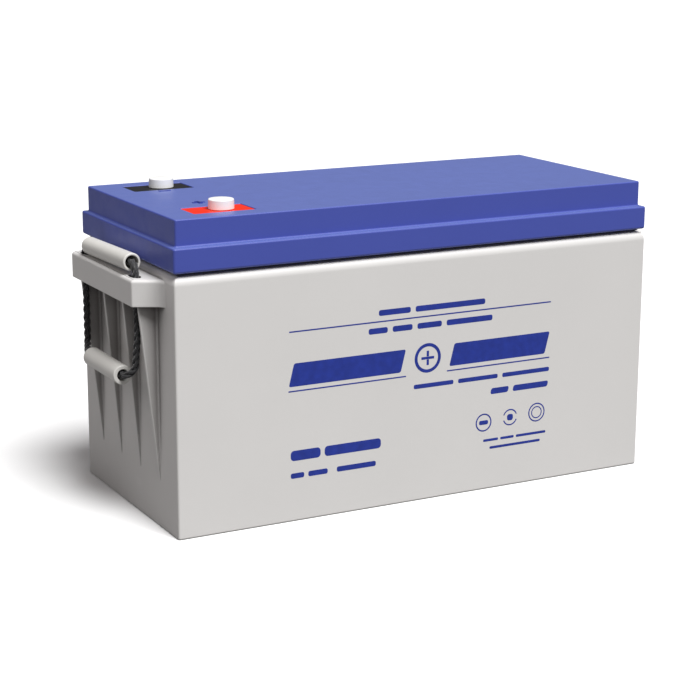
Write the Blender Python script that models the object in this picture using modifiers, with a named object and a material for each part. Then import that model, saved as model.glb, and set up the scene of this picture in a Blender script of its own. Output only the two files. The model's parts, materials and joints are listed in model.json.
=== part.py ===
"""Deep cycle battery: a sealed 12 V absorbed-glass-mat block with a rope carrying handle at each end.

Metres, +Z up, origin at the middle of the base. +X runs along the length. The terminals are at the -X end,
the positive one on the -Y side. The six cells run from the positive terminal along -Y, and back along +Y.
"""

import math

import bmesh
import bpy
from mathutils import Matrix, Vector

GAP = 0.0003  # left between pieces that touch on the real object

# Case
HALF_LENGTH = 0.2375
HALF_WIDTH = 0.1075
CASE_TOP = 0.2275
SHOULDER_RADIUS = 0.0085  # round of the top edge, under the lid
WALL = 0.006
FLOOR = 0.006
PARTITION = 0.003
PARTITION_TOP = 0.2117
EDGE_RADIUS = 0.002
SMALL_CHAMFER = 0.001
JOIN = 0.002  # how far a cutter or an added piece runs past the face where it ends

# Lid: a rim that overhangs a plug, closed by the top cover
RIM_BOTTOM = 0.229
RIM_TOP = 0.2502
DECK_BOTTOM = 0.240
PLUG_CLEARANCE = 0.0005
PLUG_BOTTOM = PARTITION_TOP + GAP
SEAL_INSET = 0.0042
SEAL_WIDTH = 0.0015
SEAL_BOTTOM = 0.2274
COVER_HALF_LENGTH = 0.2334
COVER_HALF_WIDTH = 0.1015
COVER_TOP = 0.2733
COVER_WALL = 0.004
COVER_EDGE_RADIUS = 0.0015

# Terminals
TERMINAL_X = -0.176
TERMINAL_Y = 0.066
PAD_OFFSET = 0.003  # from a post to the middle of its pad, toward the end
PAD_LENGTH = 0.0565
PAD_WIDTH = 0.032
PAD_THICKNESS = 0.0025
PAD_RECESS = 0.0004
PAD_LEDGE = 0.002
POST_RADIUS = 0.008
POST_CLEARANCE = 0.0008
POST_SEAL_RADIUS = 0.0015
POST_FLANGE_RADIUS = 0.012
POST_FLANGE = 0.0024
POST_TOP = 0.2785
BOLT_HOLE_RADIUS = 0.004
BOLT_HOLE_DEPTH = 0.016
CAP_RADIUS = 0.0112
CAP_HEIGHT = 0.0088
RISER_RADIUS = 0.006
RISER_CLEARANCE = 0.001

# Relief valves
VALVE_BOSS_RADIUS = 0.0075
VALVE_BOSS_HEIGHT = 0.006
VALVE_HOLE_RADIUS = 0.0035
VALVE_WALL = 0.0017

# Cells
PLATE_COUNT = 17  # negative first and last, positive between
PLATE_PITCH = 0.0086
PLATE_THICKNESS = 0.0042
PLATE_HALF_WIDTH = 0.044
PLATE_BOTTOM = 0.009
PLATE_TOP = 0.168
LUG_THICKNESS = 0.003
LUG_OVERLAP = 0.004
STRAP_BOTTOM = 0.182
STRAP_TOP = 0.190
STRAP_HALF_LENGTH = 0.070
STRAP_WIDTH = 0.014
STRAP_OFFSET = 0.0125
SEPARATOR_THICKNESS = 0.002
SEPARATOR_HALF_WIDTH = 0.0465
SEPARATOR_BOTTOM = 0.0065
SEPARATOR_TOP = 0.172
LINK_THICKNESS = 0.006
LINK_WIDTH = 0.010
LINK_LAP = 0.012
LINK_CLEARANCE = 0.001

# End ledges and their fins
LEDGE_OUT = 0.261
LEDGE_BOTTOM = 0.1973
LEDGE_TOP = 0.2205
LEDGE_HALF_TIP = 0.0718
LEDGE_HALF_ROOT = 0.084
LEDGE_PLATE = 0.006
LEDGE_LIP = 0.0045
LEDGE_CHAMFER = 0.0015
FIN_THICKNESS = 0.0035
FIN_FOOT = 0.041
INNER_FIN_Y = 0.0226
OUTER_FIN_Y = 0.0677
INNER_FIN_OUT = 0.2510
OUTER_FIN_OUT = 0.2545

# Rope handles; the second one is the first turned half round
ROPE_RADIUS = 0.00325
GRIP_OUT = 0.252
GRIP_RADIUS = 0.0078
GRIP_BORE = 0.0058
GRIP_ENDS = (Vector((-GRIP_OUT, -0.052, 0.2313)), Vector((-GRIP_OUT, 0.049, 0.2288)))
STOP_OUT = 0.260
STOP_RADIUS = 0.0085
STOP_BORE = 0.005
STOP_Z = 0.133
STOP_ENDS = (Vector((-STOP_OUT, -0.045, STOP_Z)), Vector((-STOP_OUT, 0.029, STOP_Z)))
TUBE_CHAMFER = 0.0008
ROPE_CORNERS = (  # the loop's corners and the radius of each bend, from the near end of the grip
    (Vector((-GRIP_OUT, -0.059, 0.2315)), 0.007),
    (Vector((-GRIP_OUT, -0.0605, 0.172)), 0.060),
    (Vector((-GRIP_OUT, -0.0535, 0.1385)), 0.007),
    (Vector((-STOP_OUT, -0.0505, STOP_Z)), 0.006),
    (Vector((-STOP_OUT, 0.040, STOP_Z)), 0.012),
    (Vector((-GRIP_OUT, 0.0618, 0.139)), 0.006),
    (Vector((-GRIP_OUT, 0.0618, 0.2285)), 0.007),
)
SLOT_Y = 0.0575
SLOT_HALF_X = 0.0044
SLOT_HALF_Y = 0.0085

CELL_LENGTH = (2 * (HALF_LENGTH - WALL) - 2 * PARTITION) / 3
CELL_WIDTH = (2 * (HALF_WIDTH - WALL) - PARTITION) / 2
COLUMN_PITCH = CELL_LENGTH + PARTITION
ROW_Y = (CELL_WIDTH + PARTITION) / 2
LINK_SHIFT = CELL_LENGTH / 4  # of the link between the rows, from its cells' middle
CELLS = [(-1, -1), (0, -1), (1, -1), (1, 1), (0, 1), (-1, 1)]  # column and row, along the current


def clear_scene():
    for thing in list(bpy.data.objects):
        bpy.data.objects.remove(thing, do_unlink=True)


def collection(name, in_render=True):
    made = bpy.data.collections.new(name)
    bpy.context.scene.collection.children.link(made)
    made.hide_render = not in_render
    return made


def material(name, colour, roughness, metallic=0.0):
    made = bpy.data.materials.new(name)
    made.use_nodes = True
    shader = made.node_tree.nodes["Principled BSDF"]
    shader.inputs["Base Color"].default_value = (*colour, 1.0)
    shader.inputs["Roughness"].default_value = roughness
    shader.inputs["Metallic"].default_value = metallic
    made.diffuse_color = (*colour, 1.0)
    return made


clear_scene()
PARTS = collection("deep_cycle_battery")
HELPERS = collection("cutters", in_render=False)

CASE_GREY = material("case_grey", (0.62, 0.61, 0.60), 0.45)
LID_BLUE = material("lid_blue", (0.045, 0.060, 0.36), 0.4)
SEALANT = material("sealant", (0.01, 0.01, 0.012), 0.6)
PAD_RED = material("pad_red", (0.80, 0.05, 0.01), 0.45)
PAD_BLACK = material("pad_black", (0.02, 0.02, 0.022), 0.45)
CAP_WHITE = material("cap_white", (0.85, 0.85, 0.84), 0.35)
GRIP_GREY = material("grip_grey", (0.66, 0.65, 0.63), 0.4)
ROPE_BLACK = material("rope_black", (0.012, 0.012, 0.013), 0.85)
BRASS = material("terminal_brass", (0.72, 0.60, 0.38), 0.3, 1.0)
LEAD = material("lead", (0.25, 0.26, 0.28), 0.55, 1.0)
POSITIVE_PASTE = material("positive_paste", (0.10, 0.045, 0.025), 0.9)
NEGATIVE_PASTE = material("negative_paste", (0.18, 0.19, 0.20), 0.9)
GLASS_MAT = material("glass_mat", (0.85, 0.85, 0.82), 0.95)
RUBBER = material("valve_rubber", (0.02, 0.02, 0.02), 0.7)


def place(name, mesh, finish=None):
    """A part with its finish, or, with none, a helper that only cuts or adds to a part."""
    thing = bpy.data.objects.new(name, mesh)
    if finish is None:
        HELPERS.objects.link(thing)
        thing.hide_render = True
        thing.display_type = "WIRE"
        return thing
    PARTS.objects.link(thing)
    if not mesh.materials:
        mesh.materials.append(finish)
    return thing


def finished_mesh(name, bm):
    bmesh.ops.recalc_face_normals(bm, faces=bm.faces)
    mesh = bpy.data.meshes.new(name)
    bm.to_mesh(mesh)
    bm.free()
    return mesh


def boxes(name, corners):
    """A mesh of separate boxes, each given by its lowest and highest corner."""
    bm = bmesh.new()
    for low, high in corners:
        low, high = Vector(low), Vector(high)
        size = Matrix.Diagonal((*(high - low), 1.0))
        bmesh.ops.create_cube(bm, size=1.0, matrix=Matrix.Translation((low + high) / 2) @ size)
    return finished_mesh(name, bm)


def block(name, half_x, half_y, bottom, top):
    return boxes(name, [((-half_x, -half_y, bottom), (half_x, half_y, top))])


def prisms(name, outlines, along):
    """A mesh of separate prisms, each an outline of points extruded by the vector along."""
    bm = bmesh.new()
    for outline in outlines:
        face = bm.faces.new([bm.verts.new(point) for point in outline])
        copied = bmesh.ops.extrude_face_region(bm, geom=[face])["geom"]
        moved = [item for item in copied if isinstance(item, bmesh.types.BMVert)]
        bmesh.ops.translate(bm, verts=moved, vec=along)
    return finished_mesh(name, bm)


def cylinders(name, spots, radius, bottom, top, segments=24, stretch=1.0):
    """A mesh of separate upright cylinders, at the given x and y, each stretched along Y."""
    bm = bmesh.new()
    shape = Matrix.Diagonal((1.0, stretch, 1.0, 1.0))
    for x, y in spots:
        middle = Matrix.Translation((x, y, (bottom + top) / 2))
        bmesh.ops.create_cone(bm, cap_ends=True, segments=segments, radius1=radius, radius2=radius,
                              depth=top - bottom, matrix=middle @ shape)
    return finished_mesh(name, bm)


def boolean(target, operation, name, mesh):
    helper = place(name, mesh)
    step = target.modifiers.new(name, "BOOLEAN")
    step.operation = operation
    step.object = helper
    return helper


def bevel(target, width, segments=2, limit="ANGLE"):
    step = target.modifiers.new("rounding", "BEVEL")
    step.width = width
    step.segments = segments
    step.limit_method = limit


def turned(name, profile, finish, steps, closed=False):
    """A profile of (radius, height) points, down its outer side, turned about the part's own Z."""
    mesh = bpy.data.meshes.new(name)
    edges = [(i, i + 1) for i in range(len(profile) - 1)]
    if closed:
        edges.append((len(profile) - 1, 0))
    mesh.from_pydata([(radius, 0.0, height) for radius, height in profile], edges, [])
    thing = place(name, mesh, finish)
    screw = thing.modifiers.new("turn", "SCREW")
    screw.steps = screw.render_steps = steps
    screw.use_merge_vertices = True
    screw.merge_threshold = 0.00001
    return thing


def cell_centre(number):
    column, row = CELLS[number - 1]
    return Vector((column * COLUMN_PITCH, row * ROW_Y, 0.0))


def strap_sign(number, polarity):
    """+1 where this group's strap lies on the +Y side of its cell. Straps swap sides from cell to cell, so
    that each link runs straight from one cell's negative strap to the next cell's positive strap."""
    outer = (number % 2 == 1) == (polarity == "positive")
    return CELLS[number - 1][1] * (1 if outer else -1)


def cell_boxes(bottom, top):
    half = Vector((CELL_LENGTH / 2, CELL_WIDTH / 2, 0.0))
    spans = []
    for number in range(1, 7):
        centre = cell_centre(number)
        spans.append((centre - half + Vector((0, 0, bottom)), centre + half + Vector((0, 0, top))))
    return spans


def link_boxes(half_width, overlap, bottom, top):
    """The bar over each partition that a link crosses: along X, or along Y from cell 3 to cell 4."""
    spans = []
    for number in range(1, 6):
        start, end = cell_centre(number), cell_centre(number + 1)
        middle = (start + end) / 2
        if abs(end.y - start.y) < ROW_Y:
            middle.y += strap_sign(number, "negative") * STRAP_OFFSET
            reach = Vector((COLUMN_PITCH / 2 - STRAP_HALF_LENGTH + overlap, half_width, 0.0))
        else:
            middle.x += LINK_SHIFT
            reach = Vector((half_width, ROW_Y - STRAP_OFFSET + overlap / 2, 0.0))
        spans.append((middle - reach + Vector((0, 0, bottom)), middle + reach + Vector((0, 0, top))))
    return spans


def ledge_outline(bottom):
    """The left ledge's plan, wider where it joins the end wall."""
    root = -(HALF_LENGTH - WALL / 2)
    return [
        (root, -LEDGE_HALF_ROOT, bottom),
        (-HALF_LENGTH, -LEDGE_HALF_ROOT, bottom),
        (-LEDGE_OUT, -LEDGE_HALF_TIP, bottom),
        (-LEDGE_OUT, LEDGE_HALF_TIP, bottom),
        (-HALF_LENGTH, LEDGE_HALF_ROOT, bottom),
        (root, LEDGE_HALF_ROOT, bottom),
    ]


def fin_outline(y, out):
    """A fin's side view: its edge rises straight from the wall at its foot to the ledge."""
    root = -(HALF_LENGTH - WALL / 2)
    top = LEDGE_TOP - LEDGE_PLATE / 2
    edge = [(-HALF_LENGTH, y, FIN_FOOT), (-out, y, LEDGE_BOTTOM), (-out, y, top)]
    return [(root, y, FIN_FOOT)] + edge + [(root, y, top)]


def make_ledge(side, turn):
    """Helper: one end's ledge, hollow from below behind its lip, with the four fins that carry it."""
    plan = prisms(f"ledge_{side}", [ledge_outline(LEDGE_BOTTOM)], (0, 0, LEDGE_TOP - LEDGE_BOTTOM))
    ledge = place(f"ledge_{side}", plan)
    bevel(ledge, LEDGE_CHAMFER, 1)
    half_hollow = OUTER_FIN_Y - FIN_THICKNESS / 4
    hollow = boxes(f"ledge_hollow_{side}", [(
        (-(LEDGE_OUT - LEDGE_LIP), -half_hollow, LEDGE_BOTTOM - WALL),
        (-(HALF_LENGTH - WALL), half_hollow, LEDGE_TOP - LEDGE_PLATE),
    )])
    helpers = [ledge, boolean(ledge, "DIFFERENCE", f"ledge_hollow_{side}", hollow)]
    fins = []
    for y, out in ((INNER_FIN_Y, INNER_FIN_OUT), (OUTER_FIN_Y, OUTER_FIN_OUT)):
        fins += [fin_outline(sign * y - FIN_THICKNESS / 2, out) for sign in (-1, 1)]
    fins = prisms(f"fins_{side}", fins, (0, FIN_THICKNESS, 0))
    helpers.append(boolean(ledge, "UNION", f"fins_{side}", fins))
    spots = [(-GRIP_OUT, -SLOT_Y), (-GRIP_OUT, SLOT_Y)]
    slots = cylinders(f"rope_slots_{side}", spots, SLOT_HALF_X, LEDGE_BOTTOM, LEDGE_TOP + WALL, 16,
                      SLOT_HALF_Y / SLOT_HALF_X)
    helpers.append(boolean(ledge, "DIFFERENCE", f"rope_slots_{side}", slots))
    for helper in helpers:
        helper.rotation_euler.z = turn
    return ledge


def make_case():
    """One moulding: walls, floor, partitions between the six cells, end ledges and fins."""
    mesh = block("case", HALF_LENGTH, HALF_WIDTH, 0, CASE_TOP)
    weights = mesh.attributes.new("bevel_weight_edge", "FLOAT", "EDGE").data
    for edge, weight in zip(mesh.edges, weights):
        at_top = all(mesh.vertices[end].co.z > PARTITION_TOP for end in edge.vertices)
        weight.value = 1.0 if at_top else EDGE_RADIUS / SHOULDER_RADIUS
    case = place("case", mesh, CASE_GREY)
    bevel(case, SHOULDER_RADIUS, 5, "WEIGHT")
    for side, turn in (("left", 0.0), ("right", math.pi)):
        step = case.modifiers.new(f"ledge_{side}", "BOOLEAN")
        step.operation = "UNION"
        step.object = make_ledge(side, turn)
    boolean(case, "DIFFERENCE", "cell_spaces", boxes("cell_spaces", cell_boxes(FLOOR, PARTITION_TOP + WALL)))
    inner = (HALF_LENGTH - WALL, HALF_WIDTH - WALL)
    boolean(case, "DIFFERENCE", "mouth", block("mouth", *inner, PARTITION_TOP, CASE_TOP + WALL))
    notches = link_boxes(LINK_WIDTH / 2 + LINK_CLEARANCE, LINK_LAP, STRAP_TOP - LINK_CLEARANCE,
                         PARTITION_TOP + WALL)
    boolean(case, "DIFFERENCE", "link_notches", boxes("link_notches", notches))


def terminal_spots():
    return [(TERMINAL_X, -TERMINAL_Y), (TERMINAL_X, TERMINAL_Y)]


def valve_spots():
    return [tuple(cell_centre(number).xy) for number in range(1, 7)]


def make_lid():
    """The rim, the plug that enters the case mouth, ribs over the partitions and six valve bosses."""
    lid = place("lid", block("lid", HALF_LENGTH, HALF_WIDTH, RIM_BOTTOM, RIM_TOP), LID_BLUE)
    bevel(lid, EDGE_RADIUS)
    inset = WALL + PLUG_CLEARANCE
    plug = block("lid_plug", HALF_LENGTH - inset, HALF_WIDTH - inset, PLUG_BOTTOM, RIM_BOTTOM + JOIN)
    boolean(lid, "UNION", "lid_plug", plug)
    bosses = cylinders("valve_bosses", valve_spots(), VALVE_BOSS_RADIUS, DECK_BOTTOM + JOIN,
                       RIM_TOP + VALVE_BOSS_HEIGHT, 20)
    boolean(lid, "UNION", "valve_bosses", bosses)
    pockets = []
    for low, high in cell_boxes(PLUG_BOTTOM - WALL, DECK_BOTTOM):
        margin = Vector((PARTITION, PARTITION, 0.0))
        pockets.append((low + margin, high - margin))
    boolean(lid, "DIFFERENCE", "lid_pockets", boxes("lid_pockets", pockets))
    holes = cylinders("valve_holes", valve_spots(), VALVE_HOLE_RADIUS, DECK_BOTTOM - JOIN, COVER_TOP, 12)
    boolean(lid, "DIFFERENCE", "valve_holes", holes)
    risers = cylinders("riser_holes", terminal_spots(), RISER_RADIUS + RISER_CLEARANCE, DECK_BOTTOM - JOIN,
                       COVER_TOP, 20)
    boolean(lid, "DIFFERENCE", "riser_holes", risers)

    outer = (HALF_LENGTH - SEAL_INSET, HALF_WIDTH - SEAL_INSET)
    seal = place("lid_seal", block("lid_seal", *outer, SEAL_BOTTOM, RIM_BOTTOM - GAP), SEALANT)
    inner = block("seal_opening", outer[0] - SEAL_WIDTH, outer[1] - SEAL_WIDTH, CASE_TOP - WALL, RIM_TOP)
    boolean(seal, "DIFFERENCE", "seal_opening", inner)


def pad_boxes(half_x, half_y, bottom, top):
    """A box between these heights round the middle of each pad."""
    spans = []
    for x, y in terminal_spots():
        middle = x - PAD_OFFSET
        spans.append(((middle - half_x, y - half_y, bottom), (middle + half_x, y + half_y, top)))
    return spans


def make_cover():
    """The top cover, a shell over the valves, with a window for each terminal whose step carries the pad."""
    bottom = RIM_TOP + GAP
    mesh = block("top_cover", COVER_HALF_LENGTH, COVER_HALF_WIDTH, bottom, COVER_TOP)
    cover = place("top_cover", mesh, LID_BLUE)
    bevel(cover, COVER_EDGE_RADIUS)
    hollow = block("cover_hollow", COVER_HALF_LENGTH - COVER_WALL, COVER_HALF_WIDTH - COVER_WALL,
                   bottom - WALL, COVER_TOP - COVER_WALL)
    boolean(cover, "DIFFERENCE", "cover_hollow", hollow)
    step = COVER_TOP - PAD_RECESS - PAD_THICKNESS - GAP
    recesses = pad_boxes(PAD_LENGTH / 2 + GAP, PAD_WIDTH / 2 + GAP, step, COVER_TOP + WALL)
    boolean(cover, "DIFFERENCE", "pad_recesses", boxes("pad_recesses", recesses))
    windows = pad_boxes(PAD_LENGTH / 2 - PAD_LEDGE, PAD_WIDTH / 2 - PAD_LEDGE, step - WALL, COVER_TOP + WALL)
    boolean(cover, "DIFFERENCE", "terminal_windows", boxes("terminal_windows", windows))


def make_terminal(polarity, x, y, pad_finish):
    """A pad, a brass post with a bolt hole, its seal, the riser from the end cell, and a lift-off cap."""
    pad_top = COVER_TOP - PAD_RECESS
    spans = pad_boxes(PAD_LENGTH / 2, PAD_WIDTH / 2, pad_top - PAD_THICKNESS, pad_top)
    span = spans[terminal_spots().index((x, y))]
    pad = place(f"{polarity}_pad", boxes(f"{polarity}_pad", [span]), pad_finish)
    hole = cylinders("pad_hole", [(x, y)], POST_RADIUS + POST_CLEARANCE, RIM_TOP, COVER_TOP + WALL)
    boolean(pad, "DIFFERENCE", f"{polarity}_pad_hole", hole)

    foot = RIM_TOP + 2 * GAP
    floor = POST_TOP - BOLT_HOLE_DEPTH
    post = turned(f"{polarity}_post", [
        (0.0, floor), (BOLT_HOLE_RADIUS, floor), (BOLT_HOLE_RADIUS, POST_TOP), (POST_RADIUS, POST_TOP),
        (POST_RADIUS, foot + POST_FLANGE), (POST_FLANGE_RADIUS, foot + POST_FLANGE),
        (POST_FLANGE_RADIUS, foot), (0.0, foot),
    ], BRASS, 32)
    post.location = (x, y, 0.0)

    ring = POST_SEAL_RADIUS
    across = POST_RADIUS + ring + 2 * GAP
    middle = foot + POST_FLANGE + GAP + ring
    circle = [math.tau * (0.25 - step / 8) for step in range(8)]
    profile = [(across + ring * math.cos(turn), middle + ring * math.sin(turn)) for turn in circle]
    seal = turned(f"{polarity}_post_seal", profile, RUBBER, 24, closed=True)
    seal.location = (x, y, 0.0)

    riser = place(f"{polarity}_riser", cylinders(f"{polarity}_riser", [(x, y)], RISER_RADIUS,
                                                 STRAP_TOP + GAP, RIM_TOP + GAP, 20), LEAD)
    riser.data.shade_smooth()
    riser.data.set_sharp_from_angle(angle=math.radians(40))

    bottom, inner = pad_top + GAP, POST_RADIUS + GAP
    top = COVER_TOP + CAP_HEIGHT
    cap = turned(f"{polarity}_cap", [
        (0.0, top), (CAP_RADIUS - SMALL_CHAMFER, top), (CAP_RADIUS, top - SMALL_CHAMFER),
        (CAP_RADIUS, bottom), (inner, bottom), (inner, POST_TOP + GAP), (0.0, POST_TOP + GAP),
    ], CAP_WHITE, 32)
    cap.location = (x, y, 0.0)


def make_valve(number):
    """A rubber cap stretched over the lid's valve boss; it lets gas out and no air in."""
    inner, bottom = VALVE_BOSS_RADIUS + GAP, RIM_TOP + 2 * GAP
    ceiling = RIM_TOP + VALVE_BOSS_HEIGHT + GAP
    valve = turned(f"relief_valve_{number}", [
        (0.0, ceiling + VALVE_WALL), (inner + VALVE_WALL, ceiling + VALVE_WALL), (inner + VALVE_WALL, bottom),
        (inner, bottom), (inner, ceiling), (0.0, ceiling),
    ], RUBBER, 20)
    valve.location = cell_centre(number)


def plate_places(polarity):
    first = 1 if polarity == "positive" else 0
    return [(index - (PLATE_COUNT - 1) / 2) * PLATE_PITCH for index in range(first, PLATE_COUNT, 2)]


def plate_group_mesh(polarity):
    """Every plate of one polarity in a cell, joined by its lugs to one strap, about the cell's middle."""
    outline = [(-STRAP_HALF_LENGTH, STRAP_TOP), (STRAP_HALF_LENGTH, STRAP_TOP)]
    outline.append((STRAP_HALF_LENGTH, STRAP_BOTTOM))
    for x in reversed(plate_places(polarity)):
        near, far = x + LUG_THICKNESS / 2, x - LUG_THICKNESS / 2
        foot = PLATE_TOP - LUG_OVERLAP
        outline += [(near, STRAP_BOTTOM), (near, foot), (far, foot), (far, STRAP_BOTTOM)]
    outline.append((-STRAP_HALF_LENGTH, STRAP_BOTTOM))
    side = STRAP_OFFSET - STRAP_WIDTH / 2
    comb = prisms(f"{polarity}_strap", [[(x, side, z) for x, z in outline]], (0, STRAP_WIDTH, 0))
    group = place(f"{polarity}_strap", comb)
    half = PLATE_THICKNESS / 2
    plates = [((x - half, -PLATE_HALF_WIDTH, PLATE_BOTTOM), (x + half, PLATE_HALF_WIDTH, PLATE_TOP))
              for x in plate_places(polarity)]
    boolean(group, "UNION", f"{polarity}_plates", boxes(f"{polarity}_plates", plates))
    bpy.context.view_layer.update()
    return bpy.data.meshes.new_from_object(group.evaluated_get(bpy.context.evaluated_depsgraph_get()))


def make_separator(number):
    """Glass mat folded to and fro between the plates of one cell."""
    bm = bmesh.new()
    columns = []
    for index in range(PLATE_COUNT + 1):
        x = (index - PLATE_COUNT / 2) * PLATE_PITCH
        start = -SEPARATOR_HALF_WIDTH if index % 2 == 0 else SEPARATOR_HALF_WIDTH
        for y in (start, -start):
            ends = [bm.verts.new((x, y, z)) for z in (SEPARATOR_BOTTOM, SEPARATOR_TOP)]
            columns.append(ends)
    for (low, high), (next_low, next_high) in zip(columns, columns[1:]):
        bm.faces.new((low, next_low, next_high, high))
    separator = place(f"separator_{number}", finished_mesh(f"separator_{number}", bm), GLASS_MAT)
    separator.location = cell_centre(number)
    thicken = separator.modifiers.new("thickness", "SOLIDIFY")
    thicken.thickness = SEPARATOR_THICKNESS
    thicken.offset = 0.0
    thicken.use_even_offset = True


def make_cells():
    for polarity, paste in (("positive", POSITIVE_PASTE), ("negative", NEGATIVE_PASTE)):
        mesh = plate_group_mesh(polarity)
        for number in range(1, 7):
            group = place(f"{polarity}_plates_{number}", mesh, paste)
            group.location = cell_centre(number)
            group.rotation_euler.z = 0.0 if strap_sign(number, polarity) > 0 else math.pi
    bars = link_boxes(LINK_WIDTH / 2, LINK_LAP, STRAP_TOP + GAP, STRAP_TOP + GAP + LINK_THICKNESS)
    for number in range(1, 7):
        make_separator(number)
        make_valve(number)
    for number, span in enumerate(bars, 1):
        link = place(f"cell_link_{number}", boxes(f"cell_link_{number}", [span]), LEAD)
        bevel(link, SMALL_CHAMFER, 1)


def rounded_loop(corners, steps=8):
    """A closed loop's corners, each replaced by an arc of its own radius that touches both of its sides."""
    points = []
    for index, (corner, radius) in enumerate(corners):
        back = (corners[index - 1][0] - corner).normalized()
        ahead = (corners[(index + 1) % len(corners)][0] - corner).normalized()
        half = back.angle(ahead) / 2
        centre = corner + (back + ahead).normalized() * radius / math.sin(half)
        start = corner + back * radius / math.tan(half) - centre
        end = corner + ahead * radius / math.tan(half) - centre
        turn = start.angle(end)
        for step in range(steps + 1):
            share = step / steps
            arm = (start * math.sin((1 - share) * turn) + end * math.sin(share * turn)) / math.sin(turn)
            points.append(centre + arm)
    return points


def make_tube(name, ends, radius, bore, parent):
    """A plain tube between two points, with its origin at its middle and its own Z along its bore."""
    axis = ends[1] - ends[0]
    half, chamfered = axis.length / 2, radius - TUBE_CHAMFER
    tube = turned(name, [
        (bore, half), (chamfered, half), (radius, half - TUBE_CHAMFER), (radius, TUBE_CHAMFER - half),
        (chamfered, -half), (bore, -half),
    ], GRIP_GREY, 28, closed=True)
    tube.parent = parent
    tube.location = (ends[0] + ends[1]) / 2
    tube.rotation_euler = axis.to_track_quat("Z", "X").to_euler()


def make_handle(side, turn):
    """A closed rope loop through the ledge, with a grip tube above it and a stop tube below it."""
    handle = bpy.data.objects.new(f"handle_{side}", None)
    PARTS.objects.link(handle)
    handle.rotation_euler.z = turn
    make_tube(f"grip_tube_{side}", GRIP_ENDS, GRIP_RADIUS, GRIP_BORE, handle)
    make_tube(f"stop_tube_{side}", STOP_ENDS, STOP_RADIUS, STOP_BORE, handle)
    curve = bpy.data.curves.new(f"rope_{side}", "CURVE")
    curve.dimensions = "3D"
    curve.bevel_depth = ROPE_RADIUS
    curve.bevel_resolution = 2
    curve.resolution_u = 1
    points = rounded_loop(ROPE_CORNERS)
    spline = curve.splines.new("POLY")
    spline.points.add(len(points) - 1)
    spline.use_cyclic_u = True
    centre = Vector((-GRIP_OUT, 0.0, LEDGE_TOP))
    for spot, point in zip(spline.points, points):
        spot.co = (*(point - centre), 1.0)
    rope = place(f"rope_{side}", curve, ROPE_BLACK)
    rope.parent = handle
    rope.location = centre


def main():
    make_case()
    make_lid()
    make_cover()
    for polarity, (x, y), finish in zip(("positive", "negative"), terminal_spots(), (PAD_RED, PAD_BLACK)):
        make_terminal(polarity, x, y, finish)
    make_cells()
    for side, turn in (("left", 0.0), ("right", math.pi)):
        make_handle(side, turn)
    for thing in PARTS.objects:
        if thing.type == "MESH" and "turn" in thing.modifiers:
            thing.data.shade_smooth()


main()
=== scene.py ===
"""The looks of the deep cycle battery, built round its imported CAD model.

Metres, in the CAD model's frame: +Z up, +X along the length away from the terminals, the positive terminal
on the -Y side. The second rope handle is the first one turned half round the block's middle.
"""

import json
import math

import bmesh
import bpy
from mathutils import Matrix, Vector


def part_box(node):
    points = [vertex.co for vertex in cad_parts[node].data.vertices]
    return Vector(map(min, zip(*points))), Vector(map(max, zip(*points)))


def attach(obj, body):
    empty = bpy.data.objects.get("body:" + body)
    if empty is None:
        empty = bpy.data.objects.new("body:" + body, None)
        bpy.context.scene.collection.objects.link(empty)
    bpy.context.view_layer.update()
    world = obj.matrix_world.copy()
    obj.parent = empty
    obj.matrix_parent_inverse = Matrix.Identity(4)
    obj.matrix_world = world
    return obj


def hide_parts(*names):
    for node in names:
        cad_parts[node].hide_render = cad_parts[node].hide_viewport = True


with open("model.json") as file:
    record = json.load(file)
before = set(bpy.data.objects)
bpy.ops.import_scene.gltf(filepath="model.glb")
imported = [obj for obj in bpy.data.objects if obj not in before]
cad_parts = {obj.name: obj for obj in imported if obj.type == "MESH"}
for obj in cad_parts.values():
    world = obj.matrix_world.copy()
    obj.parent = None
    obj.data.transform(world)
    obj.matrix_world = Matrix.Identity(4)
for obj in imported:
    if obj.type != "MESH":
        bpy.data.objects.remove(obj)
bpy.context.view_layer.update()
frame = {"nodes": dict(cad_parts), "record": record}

# Sizes read from the frame
CASE_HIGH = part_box("case")[1]
LID_LOW, LID_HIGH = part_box("lid")
COVER_LOW, COVER_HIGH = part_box("top_cover")
PAD_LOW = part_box("positive_pad")[0]
POST_LOW, POST_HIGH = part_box("positive_post")
CAP_LOW, CAP_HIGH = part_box("positive_cap")
SEAL_LOW, SEAL_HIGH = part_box("lid_seal")

GAP = 0.0003
JOIN = 0.002  # how far a cutter or a joined piece reaches past the face that it crosses
SHARPEST_CORNER = 0.0008
AXIS_RADIUS = 0.0001  # where a turned profile starts and ends
HALF_LENGTH = LID_HIGH.x
HALF_WIDTH = LID_HIGH.y
CASE_TOP = CASE_HIGH.z
TERMINAL_X = (POST_LOW.x + POST_HIGH.x) / 2
TERMINAL_Y = -(POST_LOW.y + POST_HIGH.y) / 2

# Case
WALL = 0.006
FLOOR = 0.006
PARTITION = 0.003
PARTITION_TOP = LID_LOW.z - GAP
CASE_CORNER = 0.0018
CASE_BOTTOM_EDGE = 0.0018
CASE_SHOULDER = 0.0085
CELL_LENGTH = (2 * (HALF_LENGTH - WALL) - 2 * PARTITION) / 3
CELL_WIDTH = (2 * (HALF_WIDTH - WALL) - PARTITION) / 2
COLUMN_PITCH = CELL_LENGTH + PARTITION
ROW_Y = (CELL_WIDTH + PARTITION) / 2
LINK_SPACE = 0.001
POCKET_CORNER = 0.002
NOTCH_CORNER = 0.001

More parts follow.
